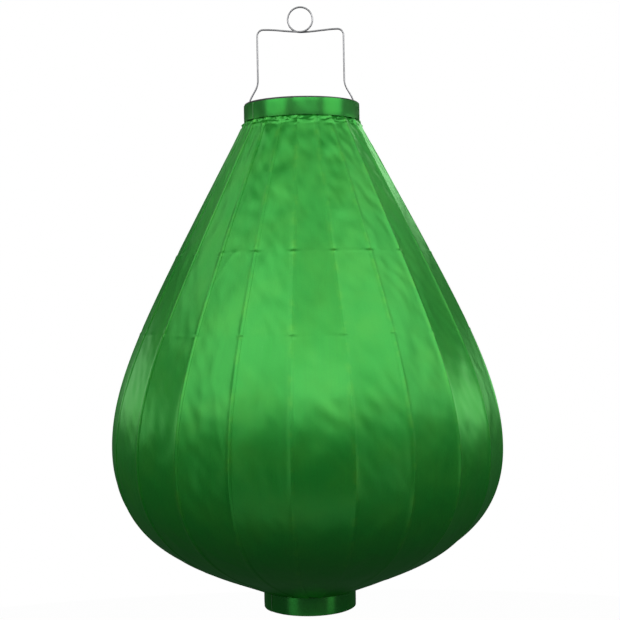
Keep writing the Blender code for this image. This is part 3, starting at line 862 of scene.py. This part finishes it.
class LANTERN_OT_ribbons(bpy.types.Operator):
    """Wind the satin ribbon round both hoops"""

    bl_idname = "lantern.ribbons"
    bl_label = "Ribbons"

    def execute(self, context):
        ribbon = context.scene.lantern_ribbon
        self.wind(ribbon, "top_ribbon", "top_hoop", 2.0, 1.0)
        self.wind(ribbon, "bottom_ribbon", "bottom_hoop", 9.0, 0.0)
        return {"FINISHED"}

    def wind(self, ribbon, node, hoop, seed, sunk):
        low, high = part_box(node)
        radius = inner_radius(node) + ribbon.cloth
        lap = ribbon.overlap / radius
        turns, across = 264, 10
        start = ribbon.seam - lap
        full = 2 * math.pi + lap
        shape = bmesh.new()
        chart = shape.loops.layers.uv.new("cloth")
        seam = shape.verts.layers.float.new("seam")
        grid = []
        for step in range(turns + 1):
            swept = full * step / turns
            on_top = ease((swept - (2 * math.pi - 1.5 * lap)) / (1.2 * lap))
            line = []
            for row in range(across + 1):
                part = row / across
                crown = 0.12 * MM * (1 - (2 * part - 1) ** 4)
                wave = 0.10 * MM * noise.noise(Vector((swept * 6, part * 1.5, seed)))
                grip = radius + on_top * (ribbon.cloth + 0.1 * MM) + crown + wave
                fray = 0.12 * MM * noise.noise(Vector((swept * 14, part * 3, seed + 4)))
                angle = start + swept
                # the ribbon's upper edge wanders below the hoop's, which shows above it
                slip = MM * (0.85 - 0.6 * math.cos(angle - ribbon.seam + math.pi)) * sunk
                z = high.z - slip + (low.z - high.z + slip) * part
                z += fray if row in (0, across) else 0.0
                vert = shape.verts.new((grip * math.cos(angle), grip * math.sin(angle), z))
                # seam peaks at the ribbon's cut end, where the satin paints a pale line: frayed threads and a
                # painted highlight of the edge
                vert[seam] = 2.6 * bell((full - swept) * radius, 1.1 * MM)
                line.append(vert)
            grid.append(line)
        for step in range(turns):
            for row in range(across):
                quad = (
                    (step, row),
                    (step, row + 1),
                    (step + 1, row + 1),
                    (step + 1, row),
                )
                face = shape.faces.new([grid[s][r] for s, r in quad])
                face.smooth = True
                for loop, (s, r) in zip(face.loops, quad):
                    along = full * s / turns * radius
                    loop[chart].uv = (along, (high.z - low.z) * r / across)
        ob = sheet_piece(shape, node, ribbon.cloth)
        settle(ob, f"{node}_satin", "lantern", node, 60.0)
        full * radius


class LANTERN_OT_hoops(bpy.types.Operator):
    """Roll the two black hoops, with the hanger's pivot holes in the top one"""

    bl_idname = "lantern.hoops"
    bl_label = "Hoops"

    def execute(self, context):
        for node in ("top_hoop", "bottom_hoop"):
            low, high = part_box(node)
            outer, inner = corner_radius(node), inner_radius(node)
            ends = [(outer, high.z), (outer, low.z), (inner, low.z), (inner, high.z)]
            ob = turn_rings(ends, 176, ring=True)
            if node == "top_hoop":
                drill = rod_tool(1.5 * MM, 3 * outer, PIVOT, (0, math.pi / 2, 0))
                cut(ob, drill)
            soften(ob, 0.5 * MM)
            settle(ob, f"{node}_rolled", "lantern", node)
        return {"FINISHED"}


def hanger_half(wire):
    """Right half of the hanger from its pivot end to the loop, as (x, height above the pivot)."""
    half = wire.span / 2
    tip = corner_radius("top_hoop") - 0.5 * MM
    bend = 1.8 * MM
    inside = 0.46 * MM  # the bend starts this far inside the hoop
    foot_x = inner_radius("top_hoop") - inside - bend
    points = [Vector((tip, 0.0))]
    for step in range(9):
        angle = step * math.pi / 16
        points.append(
            Vector((foot_x + bend - bend * math.sin(angle), bend * (1 - math.cos(angle))))
        )
    foot = Vector((foot_x, bend))
    leg = Vector((half, wire.flare))
    pull = Vector((0.0, (wire.flare - bend) / 2))
    spread = (foot, foot + pull * 0.85, leg - pull * 0.8, leg)
    points += [Outline.bezier(spread, step / 16) for step in range(1, 17)]
    high = wire.rise + wire.dip
    points += [leg.lerp(Vector((half, high - wire.corner)), step / 10) for step in range(1, 10)]
    for step in range(11):
        angle = step * math.pi / 20
        points.append(
            Vector(
                (
                    half - wire.corner * (1 - math.cos(angle)),
                    high - wire.corner * (1 - math.sin(angle)),
                )
            )
        )
    run = half - wire.corner
    for step in range(1, 20):
        along = step / 20
        points.append(Vector((run * (1 - along), high - wire.dip * ease(along))))
    return points


class LANTERN_OT_hanger(bpy.types.Operator):
    """Bend the hanger from one wire, with a full turn for the hook loop"""

    bl_idname = "lantern.hanger"
    bl_label = "Hanger"

    def execute(self, context):
        wire = context.scene.lantern_wire
        offset = wire.thickness / 2 + 0.15 * MM
        side = []
        for point in hanger_half(wire):
            pass_by = offset * ease(2 * (1 - point.x / (wire.span / 2)))
            side.append((point.x, pass_by, point.y))
        left = [(-x, -y, z) for x, y, z in side]
        centre = wire.rise + wire.loop
        loop = []
        turns = 72
        for step in range(turns + 1):
            part = step / turns
            angle = 2 * math.pi * part
            depth = offset * (2 * ease(1.5 * part - 0.25) - 1)
            loop.append(
                (wire.loop * math.sin(angle), depth, centre - wire.loop * math.cos(angle))
            )
        route = [(x, y, z + PIVOT.z) for x, y, z in left + loop + side[::-1]]
        ob = wire_piece(route, wire.thickness / 2, sides=4)
        settle(ob, "hanger_bent_wire", "hanger", "hanger_wire", 50.0)
        return {"FINISHED"}


class LANTERN_OT_ribs(bpy.types.Operator):
    """Lay the ribs inside the silk"""

    bl_idname = "lantern.ribs"
    bl_label = "Ribs"

    def execute(self, context):
        scene = context.scene
        silk, wire = scene.lantern_silk, scene.lantern_wire
        outline = Outline(silk)
        radius = wire.thickness / 2
        inset = RIB_DEPTH + radius
        line = []
        leave = outline.arc_at_height(HOOP_TOP_LOW.z - UNDERSIDE - RIB_END)
        steps = 60
        for step in range(steps + 1):
            arc = leave + (outline.length - leave) * step / steps
            point, normal, _ = outline.at(arc)
            line.append(point - normal * inset)
        rib_low, rib_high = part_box("rib_01")
        top_radius = inner_radius("top_hoop") - WIRE_GAP - radius
        low_radius = inner_radius("bottom_hoop") - WIRE_GAP - radius
        bend_height = HOOP_TOP_LOW.z - UNDERSIDE - 4 * MM
        foot_height = line[-1].y - (line[-1].x - low_radius) * math.tan(silk.underside_slope)
        path = [
            Vector((top_radius, rib_high.z - UNDERSIDE)),
            Vector((top_radius, bend_height + 3 * MM)),
            Vector((top_radius + 0.5 * MM, bend_height)),
            *line,
            Vector((low_radius + 0.5 * MM, foot_height - 0.1 * MM)),
            Vector((low_radius, foot_height - 0.9 * MM)),
            Vector((low_radius, rib_low.z - UNDERSIDE)),
        ]
        pattern = wire_piece([(p.x, 0.0, p.y + UNDERSIDE) for p in path], radius, sides=2)
        for number in range(silk.rib_count):
            angle = silk.first_rib + number * 2 * math.pi / silk.rib_count
            node = f"rib_{number + 1:02d}"
            ob = twin(pattern, angle)
            settle(ob, f"{node}_wire", "lantern", node, 50.0)
        bpy.data.objects.remove(pattern)
        return {"FINISHED"}


class LANTERN_OT_brace_hoops(bpy.types.Operator):
    """Bend the two brace hoops inside the ribs"""

    bl_idname = "lantern.brace_hoops"
    bl_label = "Brace Hoops"

    def execute(self, context):
        radius = context.scene.lantern_wire.thickness / 2
        for node in BRACE_HOOPS:
            low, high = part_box(node)
            ring = corner_radius(node) - radius
            route = [
                (ring * math.cos(a), ring * math.sin(a), (low.z + high.z) / 2)
                for a in (2 * math.pi * i / 132 for i in range(132))
            ]
            ob = wire_piece(route, radius, cyclic=True, sides=2)
            settle(ob, f"{node}_wire", "lantern", node, 50.0)
        return {"FINISHED"}


class LANTERN_OT_electronics(bpy.types.Operator):
    """Give the lamp's base, board, battery cell and LED their finish"""

    bl_idname = "lantern.electronics"
    bl_label = "Electronics"

    def execute(self, context):
        for node in ("lamp_base", "circuit_board", "battery_cell", "led"):
            materials = frame["nodes"][node].data.materials
            materials.clear()
            materials.append(finish(slot_of(node)))
        return {"FINISHED"}


class LANTERN_OT_lamp_case(bpy.types.Operator):
    """Mould the lamp's case, with its finger hollows and the cell's pocket"""

    bl_idname = "lantern.lamp_case"
    bl_label = "Lamp Case"

    def execute(self, context):
        low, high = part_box("lamp_case")
        cell_low, cell_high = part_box("solar_cell")
        flange = corner_radius("lamp_case")
        base = corner_radius("lamp_base")
        body = base + 2.3 * MM
        inside = base + 0.3 * MM
        under = high.z - 3 * MM
        dish = high.z - 0.5 * MM
        profile = [
            (flange - 6 * MM, dish),
            (flange - 5 * MM, dish),
            (flange - 4.5 * MM, high.z),
            (flange, high.z),
            (flange, under),
            (body, under),
            (body, low.z),
            (inside, low.z),
            (inside, under),
        ]
        ob = turn_rings(profile, 120)
        for number in range(3):
            angle = math.radians(120 * number + 90)
            place = ((flange + 1.2 * MM) * math.cos(angle), (flange + 1.2 * MM) * math.sin(angle))
            cut(ob, rod_tool(4 * MM, 20 * MM, (*place, high.z)))
        soften(ob, context.scene.lantern_lamp.rounding)
        wide = cell_high.x - cell_low.x + 0.6 * MM
        depth = high.z - cell_low.z + 0.3 * MM
        pocket = box_tool((wide, wide, 2 * depth), (0, 0, high.z))
        cut(ob, pocket)
        settle(ob, "lamp_case_moulded", "solar_lamp", "lamp_case", 30.0)
        return {"FINISHED"}


class LANTERN_OT_solar_cell(bpy.types.Operator):
    """Cut the solar cell's wafer"""

    bl_idname = "lantern.solar_cell"
    bl_label = "Solar Cell"

    def execute(self, context):
        low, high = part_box("solar_cell")
        centre = (low + high) / 2
        ob = box_tool(high - low, centre)
        soften(ob, 0.3 * MM, 2)
        settle(ob, "solar_cell_wafer", "solar_lamp", "solar_cell", 30.0)
        return {"FINISHED"}


class LANTERN_OT_lamp_cradle(bpy.types.Operator):
    """Press the ring on three arms that the lamp sits in"""

    bl_idname = "lantern.lamp_cradle"
    bl_label = "Lamp Cradle"

    def execute(self, context):
        low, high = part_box("lamp_cradle")
        reach = corner_radius("lamp_cradle")
        hole = inner_radius("lamp_cradle")
        ring = hole + 9 * MM
        ob = turn_rings(
            [(ring, high.z), (ring, low.z), (hole, low.z), (hole, high.z)], 120, ring=True
        )
        for degrees in (-30, 90, 210):
            angle = math.radians(degrees)
            start = hole + 4.5 * MM
            middle = (start + reach - 0.1 * MM) / 2
            centre = (middle * math.cos(angle), middle * math.sin(angle), (low.z + high.z) / 2)
            arm = box_tool((reach - 0.1 * MM - start, 8 * MM, high.z - low.z), centre, angle)
            cut(ob, arm, "UNION")
            rivet = 0.5 * (ring + reach)
            hole_at = (rivet * math.cos(angle), rivet * math.sin(angle), centre[2])
            cut(ob, rod_tool(1.6 * MM, 10 * MM, hole_at))
        soften(ob, 0.3 * MM, 2)
        settle(ob, "lamp_cradle_pressed", "lantern", "lamp_cradle", 30.0)
        return {"FINISHED"}


class LANTERN_OT_diffuser(bpy.types.Operator):
    """Mould the lamp's frosted dome"""

    bl_idname = "lantern.diffuser"
    bl_label = "Diffuser"

    def execute(self, context):
        low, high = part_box("light_diffuser")
        lip = corner_radius("light_diffuser")
        wall = 1.5 * MM
        dome = lip - 3 * MM
        lip_low = high.z - wall
        drop = 10 * MM
        spring = low.z + drop
        outer = [
            (dome * math.cos(a), spring - drop * math.sin(a))
            for a in (math.radians(7.5 * i) for i in range(12))
        ]
        inner = [
            ((dome - wall) * math.cos(a), spring - (drop - wall) * math.sin(a))
            for a in (math.radians(7.5 * i) for i in range(12))
        ]
        outside = turn_rings([(lip, high.z), (lip, lip_low), (dome, lip_low), *outer], 72)
        inside = turn_rings([(dome - wall, high.z + MM), *inner], 72)
        cut(outside, inside)
        soften(outside, 0.25 * MM, 2)
        settle(outside, "diffuser_dome", "solar_lamp", "light_diffuser", 30.0)
        return {"FINISHED"}


class LANTERN_OT_switch_button(bpy.types.Operator):
    """Mould the switch's rubber button"""

    bl_idname = "lantern.switch_button"
    bl_label = "Switch Button"

    def execute(self, context):
        low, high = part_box("switch_button")
        centre = (low + high) / 2
        collar = (high.x - low.x) / 2
        stem = collar - MM
        profile = [
            (collar, high.z),
            (collar, high.z - 1.2 * MM),
            (stem, high.z - 1.2 * MM),
            (stem, low.z),
            (stem * 0.62, low.z),
            (stem * 0.5, low.z + 0.35 * MM),
        ]
        ob = turn_rings(profile, 48)
        soften(ob, 0.3 * MM)
        ob.location = (centre.x, centre.y, 0)
        settle(ob, "switch_button_cap", "switch", "switch_button", 30.0)
        return {"FINISHED"}


class LANTERN_OT_stage(bpy.types.Operator):
    """Set up the pale floor, the backdrop, the soft lights and the camera"""

    bl_idname = "lantern.stage"
    bl_label = "Stage"

    def execute(self, context):
        stage = context.scene.lantern_stage
        self.camera(stage)
        self.surroundings(stage)
        self.lights()
        context.scene.view_settings.view_transform = "Standard"
        return {"FINISHED"}

    def camera(self, stage):
        data = bpy.data.cameras.new("lantern_camera")
        data.lens = stage.lens
        data.sensor_width = 36.0
        data.clip_end = 50.0
        ob = put("lantern_camera", data)
        ahead = Vector((0, math.cos(stage.pitch), -math.sin(stage.pitch)))
        level_right = Vector((1, 0, 0))
        level_up = level_right.cross(ahead)
        right = level_right * math.cos(stage.roll) - level_up * math.sin(stage.roll)
        up = right.cross(ahead)
        turned = Matrix((right, up, -ahead)).transposed().to_4x4()
        eye = Vector((stage.eye_side, -stage.distance, UNDERSIDE + stage.eye_height))
        ob.matrix_world = Matrix.Translation(eye) @ turned
        bpy.context.scene.camera = ob

    def surroundings(self, stage):
        level = UNDERSIDE - stage.floor_drop
        deselect()
        bpy.ops.mesh.primitive_circle_add(
            vertices=96, radius=5.8, fill_type="NGON", location=(0, 0, level)
        )
        floor = bpy.context.object
        floor.name = "pale_floor"
        floor.data.materials.append(self.glow("pale_floor", 0.985, 0.03))
        bpy.ops.mesh.primitive_uv_sphere_add(
            segments=64, ring_count=32, radius=BACKDROP_RADIUS, location=(0, 0, level)
        )
        dome = bpy.context.object
        dome.name = "white_backdrop"
        dome.data.materials.append(self.glow("white_backdrop", 1.0, 0.0))
        for ob in (floor, dome):
            ob.visible_diffuse = False
            ob.visible_glossy = False
            ob.visible_transmission = False
            ob.visible_shadow = False
        world = bpy.data.worlds.new("studio")
        bpy.context.scene.world = world
        world.use_nodes = True
        background = world.node_tree.nodes["Background"]
        background.inputs["Color"].default_value = (0.85, 0.95, 1.0, 1.0)
        background.inputs["Strength"].default_value = 0.06

    def glow(self, name, light, tone):
        """A pale surface that also shines a little, so that it stays even."""
        paint = Paint(
            name,
            base_color=(tone, tone, tone),
            roughness=1.0,
            specular_ior_level=0.0,
            emission_color=(1.0, 1.0, 1.0),
            emission_strength=light,
        )
        return paint.material

    def lights(self):
        centre = Vector((0, 0, UNDERSIDE + 0.36))
        for name, azimuth, elevation, distance, width, height, watts in STUDIO_LIGHTS:
            around = math.radians(azimuth - 90)
            up = math.radians(elevation)
            way = Vector(
                (math.cos(up) * math.cos(around), math.cos(up) * math.sin(around), math.sin(up))
            )
            data = bpy.data.lights.new(name, "AREA")
            data.shape = "RECTANGLE"
            data.size = width
            data.size_y = height
            data.energy = watts
            ob = put(name, data)
            ob.location = centre + way * distance
            ob.rotation_euler = way.to_track_quat("Z", "Y").to_euler()
            ob.visible_camera = False


class LANTERN_PT_sidebar(bpy.types.Panel):
    """The lantern's pieces in the 3D view's sidebar"""

    bl_label = "Silk Solar Lantern"
    bl_idname = "LANTERN_PT_sidebar"
    bl_space_type = "VIEW_3D"
    bl_region_type = "UI"
    bl_category = "Lantern"

    def draw(self, context):
        for operator in OPERATORS:
            self.layout.operator(operator.bl_idname)
        for name in SETTINGS:
            group = getattr(context.scene, name)
            column = self.layout.column(align=True)
            for key in group.__annotations__:
                column.prop(group, key)


OPERATORS = (
    LANTERN_OT_hoops,
    LANTERN_OT_silk,
    LANTERN_OT_ribbons,
    LANTERN_OT_hanger,
    LANTERN_OT_ribs,
    LANTERN_OT_brace_hoops,
    LANTERN_OT_electronics,
    LANTERN_OT_lamp_case,
    LANTERN_OT_solar_cell,
    LANTERN_OT_lamp_cradle,
    LANTERN_OT_diffuser,
    LANTERN_OT_switch_button,
    LANTERN_OT_stage,
)
SETTINGS = {
    "lantern_silk": SilkSettings,
    "lantern_ribbon": RibbonSettings,
    "lantern_wire": WireSettings,
    "lantern_lamp": LampSettings,
    "lantern_stage": StageSettings,
}


def register():
    for name, group in SETTINGS.items():
        bpy.utils.register_class(group)
        setattr(bpy.types.Scene, name, PointerProperty(type=group))
    for operator in OPERATORS:
        bpy.utils.register_class(operator)
    bpy.utils.register_class(LANTERN_PT_sidebar)


def unregister():
    bpy.utils.unregister_class(LANTERN_PT_sidebar)
    for operator in reversed(OPERATORS):
        bpy.utils.unregister_class(operator)
    for name, group in SETTINGS.items():
        delattr(bpy.types.Scene, name)
        bpy.utils.unregister_class(group)


def main():
    register()
    for operator in OPERATORS:
        category, name = operator.bl_idname.split(".")
        getattr(getattr(bpy.ops, category), name)()


if __name__ == "__main__":
    main()
